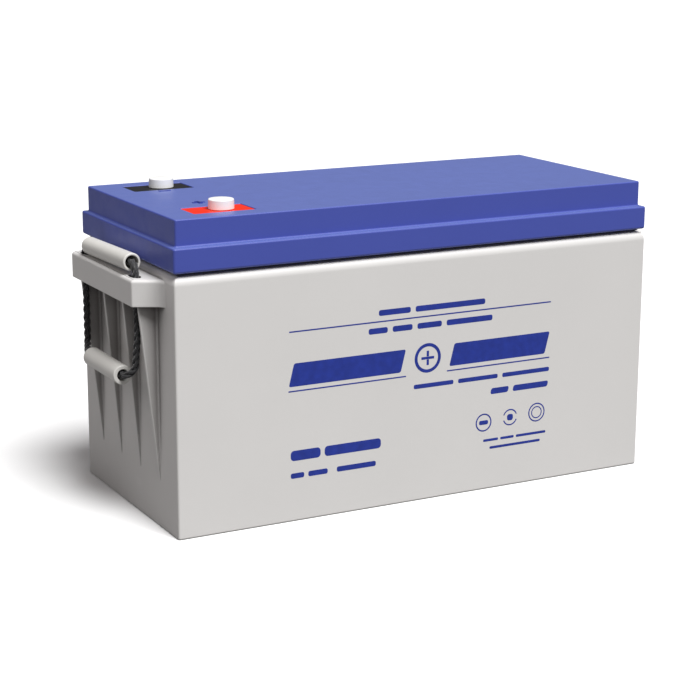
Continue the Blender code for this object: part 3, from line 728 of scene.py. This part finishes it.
def make_cover():
    foot = RIM_TOP - GAP
    flare = [(-COVER_FLARE, foot)]
    flare += [(COVER_FLARE * (math.sin(t) - 1), RIM_TOP + GAP / 2 + COVER_FLARE * (1 - math.cos(t)))
              for t in [math.pi / 2 * step / 5 for step in range(6)]]
    sides = rounded_profile(COVER_LOW.z + 2 * COVER_FLARE, COVER_HIGH.z, 0.0, COVER_EDGE)
    upper = sides[len(sides) // 2:]
    cover = slab_object("cover_shell", COVER_HIGH.x, COVER_HIGH.y, COVER_CORNER, flare + upper)
    half_x, half_y = COVER_HIGH.x - COVER_WALL, COVER_HIGH.y - COVER_WALL
    hollow = rounded_profile(foot - WALL, COVER_HIGH.z - COVER_WALL, 0.0, 0.001)
    carve(cover, "DIFFERENCE", slab_object("hollow", half_x, half_y, POCKET_CORNER, hollow))
    for polarity in ("positive", "negative"):
        low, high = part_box(f"{polarity}_pad")
        reach = (high - low) / 2
        x, y = ((low + high) / 2).xy
        recess = [(0.0, PAD_LOW.z - GAP), (0.0, COVER_HIGH.z - 0.0004), (-0.0004, COVER_HIGH.z + 0.0001),
                  (-0.0004, COVER_HIGH.z + WALL)]
        carve(cover, "DIFFERENCE", slab_object("recess", reach.x + GAP, reach.y + GAP, PAD_RECESS_CORNER,
                                               recess, centre=(x, y)))
        window = [(0.0, PAD_LOW.z - WALL), (0.0, COVER_HIGH.z + WALL)]
        carve(cover, "DIFFERENCE", slab_object("window", reach.x - PAD_LEDGE, reach.y - PAD_LEDGE, PAD_CORNER,
                                               window, centre=(x, y)))
    finish(cover, "battery", "lid_blue", "top_cover")


# ---------------------------------------------------------------- terminals

def make_pad(polarity, x, y, slot):
    low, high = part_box(f"{polarity}_pad")
    half = (high - low) / 2
    sides = rounded_profile(low.z, high.z, 0.0003, 0.0005)
    pad = slab_object(f"{polarity}_inlay", half.x, half.y, PAD_CORNER, sides, centre=((low + high) / 2).xy)
    hole = POST_RADIUS + POST_CLEARANCE
    levels = [(hole, low.z - GAP), (hole, high.z - 0.0005), (hole + 0.0007, high.z + 0.0002)]
    carve(pad, "DIFFERENCE", round_cutter("hole", [(x, y)], levels, segments=64))
    finish(pad, "battery", slot, f"{polarity}_pad")


def thread(radius, height, turn):
    """Cuts a helical V thread into the wall of the bolt hole, fading at both ends."""
    if abs(radius - BOLT_RADIUS) > 1e-6:
        return radius
    depth = POST_HIGH.z - height
    fade = max(0.0, min(1.0, (depth - 0.0012) / 0.0008, (BOLT_DEPTH - depth - 0.0015) / 0.001))
    phase = (depth / THREAD_PITCH + turn / math.tau) % 1.0
    return radius + fade * THREAD_DEPTH * (1 - abs(2 * phase - 1))


def make_post(polarity, x, y):
    top, foot = POST_HIGH.z, POST_LOW.z
    floor = top - BOLT_DEPTH
    shoulder = foot + POST_FLANGE
    rows = 80
    profile = [(AXIS_RADIUS, floor - 0.0009), (BOLT_RADIUS - BOLT_CHAMFER, floor)]
    for step in range(rows + 1):
        profile.append((BOLT_RADIUS, floor + 0.0004 + (BOLT_DEPTH - 0.0010) * step / rows))
    profile += [(BOLT_RADIUS + BOLT_CHAMFER, top)]
    profile += arc((POST_RADIUS - POST_EDGE, top - POST_EDGE), POST_EDGE, 90, 0, 4)
    profile += [(POST_RADIUS, shoulder + 0.0006), (POST_RADIUS + 0.0002, shoulder + 0.0002),
                (POST_RADIUS + 0.0006, shoulder)]
    rim = POST_FLANGE_RADIUS - FLANGE_EDGE
    profile += arc((rim, shoulder - FLANGE_EDGE), FLANGE_EDGE, 90, 0, 3)
    profile += arc((rim, foot + FLANGE_EDGE), FLANGE_EDGE, 0, -90, 3)
    profile += [(AXIS_RADIUS, foot)]
    post = moved(turned(f"{polarity}_terminal", profile, shape=thread), (x, y, 0.0))
    finish(post, "battery", "terminal_brass", f"{polarity}_post")


def make_post_seal(polarity, x, y):
    low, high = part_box(f"{polarity}_post_seal")
    ring = (high.z - low.z) / 2
    across = (high.x - low.x) / 2 - ring
    seal = turned(f"{polarity}_o_ring", arc((across, low.z + ring), ring, 90, -247.5, 15), closed=True)
    finish(moved(seal, (x, y, 0.0)), "battery", "valve_rubber", f"{polarity}_post_seal", angle=60.0)


def make_cap(polarity, x, y):
    """A white moulded cap: a faintly domed top, a soft top edge and a slight draft."""
    low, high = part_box(f"{polarity}_cap")
    inner, roof = POST_RADIUS + GAP, POST_HIGH.z + GAP
    edge, dome = 0.0012, 0.00025
    outer = CAP_RADIUS - 0.00015
    profile = [(AXIS_RADIUS, high.z), (outer * 0.35, high.z - dome * 0.15)]
    profile += [(outer * 0.7, high.z - dome * 0.6)]
    profile += arc((outer - edge, high.z - dome - edge), edge, 84, 4, 7)
    profile += [(CAP_RADIUS, low.z + 0.0004), (CAP_RADIUS - 0.0003, low.z), (inner + 0.0004, low.z),
                (inner, low.z + 0.0004), (inner, roof), (AXIS_RADIUS, roof)]
    finish(moved(turned(f"{polarity}_dust_cap", profile, 72), (x, y, 0.0)), f"cap_{polarity}", "cap_white",
           f"{polarity}_cap")


def make_terminals():
    for polarity, (x, y), slot in zip(("positive", "negative"), terminal_spots(), ("pad_red", "pad_black")):
        make_pad(polarity, x, y, slot)
        make_post(polarity, x, y)
        make_post_seal(polarity, x, y)
        make_cap(polarity, x, y)


def make_valve(number):
    """A rubber valve cap with a soft rim and a dimpled top."""
    low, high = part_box(f"relief_valve_{number}")
    middle = (low + high) / 2
    outer = (high.x - low.x) / 2
    inner, roof = VALVE_BOSS_RADIUS + GAP, LID_HIGH.z + GAP
    profile = [(AXIS_RADIUS, high.z - 0.0004), (outer * 0.45, high.z - 0.0003), (outer * 0.6, high.z)]
    profile += arc((outer - VALVE_EDGE, high.z - VALVE_EDGE), VALVE_EDGE, 90, 0, 4)
    profile += [(outer, low.z + 0.0018), (outer - 0.0004, low.z + 0.0014), (outer, low.z + 0.001)]
    profile += [(outer, low.z), (inner, low.z), (inner, roof), (AXIS_RADIUS, roof)]
    valve = moved(turned(f"valve_cap_{number}", profile, 40), (middle.x, middle.y, 0.0))
    finish(valve, "battery", "valve_rubber", f"relief_valve_{number}")


# ---------------------------------------------------------------- rope handles

def rounded_loop(corners, step_length):
    """A closed loop's corners, each replaced by an arc of its own radius, as evenly spaced points."""
    points = []
    arcs = []
    for index, (corner, radius) in enumerate(corners):
        back = (corners[index - 1][0] - corner).normalized()
        ahead = (corners[(index + 1) % len(corners)][0] - corner).normalized()
        half = back.angle(ahead) / 2
        centre = corner + (back + ahead).normalized() * radius / math.sin(half)
        start = corner + back * radius / math.tan(half) - centre
        end = corner + ahead * radius / math.tan(half) - centre
        arcs.append((centre, start, end))
    for index, (centre, start, end) in enumerate(arcs):
        turn = start.angle(end)
        count = max(3, round(start.length * turn / step_length))
        for step in range(count + 1):
            share = step / count
            arm = (start * math.sin((1 - share) * turn) + end * math.sin(share * turn)) / math.sin(turn)
            points.append(centre + arm)
        following = arcs[(index + 1) % len(arcs)]
        goal = following[0] + following[1]
        run = goal - points[-1]
        count = max(1, round(run.length / step_length))
        first = points[-1]
        points += [first + run * step / count for step in range(1, count)]
    return points


def loop_frames(points):
    """(point, normal, binormal, distance) round a closed loop, its twist spread evenly, and its length."""
    count = len(points)
    tangents = [(points[(i + 1) % count] - points[i - 1]).normalized() for i in range(count)]
    normal = tangents[0].cross(Vector((0.0, 0.0, 1.0)))
    normal = (normal if normal.length > 0.1 else tangents[0].cross(Vector((1.0, 0.0, 0.0)))).normalized()
    normals = [normal]
    for before, after in zip(tangents, tangents[1:] + tangents[:1]):
        normals.append(before.rotation_difference(after) @ normals[-1])
    slip = math.atan2(tangents[0].dot(normals[0].cross(normals[-1])), normals[0].dot(normals[-1]))
    distance, total = 0.0, sum((points[(i + 1) % count] - points[i]).length for i in range(count))
    frames = []
    for index, point in enumerate(points):
        turn = Matrix.Rotation(-slip * distance / total, 3, tangents[index])
        across = turn @ normals[index]
        frames.append((point, across, tangents[index].cross(across), distance))
        distance += (points[(index + 1) % count] - point).length
    return frames, total


def make_rope(side, half_turn):
    """Three strands laid round each other along the whole loop, with UVs for their filaments."""
    frames, total = loop_frames(rounded_loop(ROPE_CORNERS, ROPE_STEP))
    strand = STRAND_SHARE * ROPE_RADIUS
    lay = ROPE_RADIUS - strand
    turns = round(total / LAY_LENGTH)
    sides = 8
    round_strand = [(math.cos(math.tau * k / sides), math.sin(math.tau * k / sides)) for k in range(sides)]
    bm = bmesh.new()
    uv = bm.loops.layers.uv.new("strand")
    for number in range(3):
        centres, normals = [], []
        for point, across, up, distance in frames:
            turn = math.tau * (turns * distance / total + number / 3)
            arm = math.cos(turn) * across + math.sin(turn) * up
            centres.append(point + lay * arm)
            normals.append(arm)
        count = len(centres)
        rings = []
        for index, centre in enumerate(centres):
            tangent = (centres[(index + 1) % count] - centres[index - 1]).normalized()
            out = (normals[index] - tangent * normals[index].dot(tangent)).normalized()
            beside = tangent.cross(out)
            rings.append([centre + strand * (c * out + s * beside) for c, s in round_strand])
        loops = loft(bm, rings, closed=True)
        bm.faces.ensure_lookup_table()
        faces = bm.faces[number * count * sides:]
        for place, face in enumerate(faces):
            ring, k = divmod(place, sides)
            corners = ((k, ring), (k + 1, ring), (k + 1, ring + 1), (k, ring + 1))
            for corner, (around, along) in zip(face.loops, corners):
                corner[uv].uv = (around / sides, along * total / count / (2 * strand))
    rope = new_object(f"laid_rope_{side}", bm)
    rope.data.transform(half_turn)
    finish(rope, f"handle_{side}", "rope_black", f"rope_{side}", angle=80.0)


def make_tube(name, ends, radius, bore, half_turn, body, node_name):
    """A cut length of thick tube with rounded cut edges."""
    axis = ends[1] - ends[0]
    half, edge, inner_edge = axis.length / 2, TUBE_EDGE, TUBE_BORE_EDGE
    profile = arc((radius - edge, half - edge), edge, 90, 0, 5)
    profile += [(radius, half * share) for share in (0.8, 0.4, 0.0, -0.4, -0.8)]
    profile += arc((radius - edge, edge - half), edge, 0, -90, 5)
    profile += arc((bore + inner_edge, inner_edge - half), inner_edge, -90, -180, 3)
    profile += [(bore, half * share) for share in (-0.8, 0.0, 0.8)]
    profile += arc((bore + inner_edge, half - inner_edge), inner_edge, 180, 90, 3)
    tube = turned(name, profile, 64, closed=True)
    stand = axis.to_track_quat("Z", "X").to_matrix().to_4x4()
    tube.data.transform(half_turn @ Matrix.Translation((ends[0] + ends[1]) / 2) @ stand)
    finish(tube, body, "grip_grey", node_name)


def make_handles():
    for side, turn in (("left", 0.0), ("right", math.pi)):
        half_turn = Matrix.Rotation(turn, 4, "Z")
        make_rope(side, half_turn)
        make_tube(f"grip_sleeve_{side}", GRIP_ENDS, GRIP_RADIUS, GRIP_BORE, half_turn, f"grip_{side}",
                  f"grip_tube_{side}")
        make_tube(f"stop_sleeve_{side}", STOP_ENDS, STOP_RADIUS, STOP_BORE, half_turn, f"stop_{side}",
                  f"stop_tube_{side}")


# ---------------------------------------------------------------- printing

def bar(bm, left, right, bottom, top, radius, lean=0.0):
    """A printed bar on the front, with round corners and, with a lean, slanted ends."""
    half_x, half_z = (right - left) / 2, (top - bottom) / 2
    centre = ((left + right) / 2, (bottom + top) / 2)
    outline = [(x + lean * (z - centre[1]), z) for x, z, _ in
               rounded_rectangle(half_x, half_z, min(radius, half_x, half_z), 0.0, centre, 4)]
    rings = [[(x, y, z) for x, z in outline] for y in (-HALF_WIDTH + INK_PROUD, -HALF_WIDTH - INK_PROUD)]
    loft(bm, rings)


def ring(bm, x, z, radius, width, start=0.0, end=360.0, steps=40):
    """A printed ring or arc on the front."""
    full = end - start >= 360.0
    inner, outer = radius - width, radius
    sections = []
    for step in range(steps + (0 if full else 1)):
        turn = math.radians(start + (end - start) * step / steps)
        sections.append([(x + r * math.cos(turn), y, z + r * math.sin(turn)) for r, y in
                         ((inner, -HALF_WIDTH + INK_PROUD), (outer, -HALF_WIDTH + INK_PROUD),
                          (outer, -HALF_WIDTH - INK_PROUD), (inner, -HALF_WIDTH - INK_PROUD))])
    loft(bm, sections, closed=full)


def row_of_words(bm, spans, middle, height, lean=0.0):
    for left, right in spans:
        bar(bm, left, right, middle - height / 2, middle + height / 2, height * 0.35, lean)


def make_front_print():
    """The front's printed label, with every word and mark stood in for by a plain bar or ring."""
    bm = bmesh.new()
    row_of_words(bm, ((-0.046, -0.014), (-0.009, 0.063)), 0.1775, 0.0052)
    bar(bm, -0.133, 0.134, 0.1692, 0.1704, 0.0004)
    row_of_words(bm, ((-0.056, -0.037), (-0.032, -0.012), (-0.007, 0.018), (0.023, 0.071)), 0.1618, 0.0052)
    bar(bm, -0.131, -0.021, 0.1215, 0.1420, 0.0018, 0.25)
    bar(bm, 0.029, 0.131, 0.1215, 0.1420, 0.0018, 0.25)
    ring(bm, 0.004, 0.13175, 0.0135, 0.0030)
    bar(bm, -0.0026, 0.0106, 0.13055, 0.13295, 0.0004)
    bar(bm, 0.0028, 0.0052, 0.12515, 0.13035, 0.0004)
    bar(bm, 0.0028, 0.0052, 0.13315, 0.13835, 0.0004)
    bar(bm, -0.134, -0.018, 0.1168, 0.1180, 0.0004)
    bar(bm, 0.024, 0.134, 0.1168, 0.1180, 0.0004)
    row_of_words(bm, ((-0.010, 0.031), (0.036, 0.078), (0.083, 0.134)), 0.1065, 0.0040)
    row_of_words(bm, ((0.071, 0.090), (0.095, 0.133)), 0.0927, 0.0056, 0.2)
    row_of_words(bm, ((-0.132, -0.103), (-0.099, -0.043)), 0.0596, 0.0092)
    row_of_words(bm, ((-0.132, -0.119), (-0.115, -0.096), (-0.087, -0.048)), 0.0415, 0.0048)
    ring(bm, 0.0640, 0.0640, 0.0085, 0.0013)
    row_of_words(bm, ((0.0592, 0.0688),), 0.0640, 0.0040)
    ring(bm, 0.0925, 0.0655, 0.0078, 0.0012, 20.0, 160.0, 20)
    ring(bm, 0.0925, 0.0655, 0.0078, 0.0012, 200.0, 340.0, 20)
    row_of_words(bm, ((0.0893, 0.0957),), 0.0655, 0.0060)
    ring(bm, 0.1215, 0.0665, 0.0090, 0.0012)
    ring(bm, 0.1215, 0.0665, 0.0058, 0.0010)
    row_of_words(bm, ((0.064, 0.080), (0.0825, 0.097), (0.0995, 0.132)), 0.0467, 0.0024)
    row_of_words(bm, ((0.071, 0.126),), 0.0392, 0.0024)
    label = new_object("front_print", bm)
    finish(label, "battery", "lid_blue", material=INK)


def make_polarity_marks():
    """A raised plus and minus beside the pads."""
    bm = bmesh.new()
    profile = rounded_profile(COVER_HIGH.z - GAP, COVER_HIGH.z + MARK_HEIGHT, 0.0, 0.0003, 3)
    for spot, arms in ((PLUS_SPOT, ((MARK_LENGTH, MARK_WIDTH), (MARK_WIDTH, MARK_LENGTH))),
                       (MINUS_SPOT, ((MARK_LENGTH, MARK_WIDTH),))):
        for along, across in arms:
            slab(bm, along / 2, across / 2, MARK_CORNER, profile, spot)
    marks = new_object("polarity_marks", bm)
    finish(marks, "battery", "lid_blue", material=INK)


# ---------------------------------------------------------------- pieces kept from the CAD model

def dress_cad_nodes():
    """Every CAD node gets its slot's material, whether it shows or is replaced."""
    slots = {row["node"]: row["material_slot"] for row in frame["record"]["subparts"]}
    for name, thing in frame["nodes"].items():
        thing.data.materials.clear()
        thing.data.materials.append(MATERIALS[slots[name]])


# ---------------------------------------------------------------- studio

KEY_FROM = (0.10, -0.57, 1.0)
KEY_STRENGTH = 4.5
KEY_SPREAD = 30.0
AMBIENT = 0.11
FILL_FROM = (-1.0, 0.60, 0.85)
FILL_STRENGTH = 0.5
FILL_SPREAD = 50.0
FILL_COLOUR = (1.0, 0.955, 0.955)
CAMERA_TARGET = Vector((-0.0168, 0.0, 0.1177))
CAMERA_TURN = -28.16  # degrees
CAMERA_LIFT = 13.86
CAMERA_ROLL = 0.22
CAMERA_DISTANCE = 1.729
CAMERA_LENS = 95.2  # millimetres, as the sensor
CAMERA_SENSOR = 36.0


def make_floor():
    """A wide white floor, paler to the eye than in the light that it throws back at the end wall."""
    bm = bmesh.new()
    corners = ((-20, -20), (20, -20), (20, 20), (-20, 20))
    loft(bm, [[(x, y, z) for x, y in corners] for z in (-0.01, 0.0)])
    floor = new_object("floor", bm)
    made, tree, shader = new_material("pale_floor")
    where = node(tree, "TexCoord").outputs["Object"]
    seen = node(tree, "LightPath").outputs["Is Camera Ray"]
    cloud = blotches(tree, where, 3.0)
    pale = blend_colours(tree, cloud, (0.94, 0.94, 0.94), (0.97, 0.97, 0.97))
    tree.links.new(blend_colours(tree, seen, (0.24, 0.24, 0.24), pale), shader.inputs["Base Color"])
    shader.inputs["Roughness"].default_value = 0.6
    shader.inputs["Specular IOR Level"].default_value = 0.1
    floor.data.materials.append(made)


def make_world():
    world = bpy.data.worlds.new("studio")
    bpy.context.scene.world = world
    world.use_nodes = True
    tree = world.node_tree
    tree.nodes.clear()
    seen = node(tree, "LightPath").outputs["Is Camera Ray"]
    backdrop = node(tree, "Background", {"Color": (1.0, 1.0, 1.0), "Strength": 1.0})
    ambient = node(tree, "Background", {"Color": FILL_COLOUR, "Strength": AMBIENT})
    mixed = node(tree, "MixShader", {0: seen, 1: ambient.outputs[0], 2: backdrop.outputs[0]})
    node(tree, "OutputWorld", {"Surface": mixed.outputs[0]})


def make_sun(name, source, strength, spread, colour=(1.0, 1.0, 1.0)):
    lamp = bpy.data.lights.new(name, "SUN")
    lamp.energy = strength
    lamp.angle = math.radians(spread)
    lamp.color = colour
    made = bpy.data.objects.new(name, lamp)
    bpy.context.scene.collection.objects.link(made)
    made.rotation_euler = Vector(source).to_track_quat("Z", "Y").to_euler()


def make_studio():
    """A large soft key from above the front, a weak fill from behind the near end, and even light round."""
    make_floor()
    make_world()
    make_sun("key", KEY_FROM, KEY_STRENGTH, KEY_SPREAD)
    make_sun("fill", FILL_FROM, FILL_STRENGTH, FILL_SPREAD, FILL_COLOUR)
    bpy.context.scene.view_settings.view_transform = "Standard"


def make_camera():
    """The photograph's view: from the left of the front, a little above, with a long lens."""
    turn, lift, distance = math.radians(CAMERA_TURN), math.radians(CAMERA_LIFT), CAMERA_DISTANCE
    back = Vector((math.sin(turn) * math.cos(lift), -math.cos(turn) * math.cos(lift), math.sin(lift)))
    lens = bpy.data.cameras.new("camera")
    lens.lens = CAMERA_LENS
    lens.sensor_width = CAMERA_SENSOR
    camera = bpy.data.objects.new("camera", lens)
    bpy.context.scene.collection.objects.link(camera)
    camera.location = CAMERA_TARGET + distance * back
    roll = Matrix.Rotation(math.radians(CAMERA_ROLL), 4, "Z")
    camera.rotation_euler = (back.to_track_quat("Z", "Y").to_matrix().to_4x4() @ roll).to_euler()
    bpy.context.scene.camera = camera


make_camera()
make_studio()
dress_cad_nodes()
make_case()
make_lid()
make_seal()
make_cover()
make_terminals()
for valve in range(1, 7):
    make_valve(valve)
make_handles()
make_front_print()
make_polarity_marks()
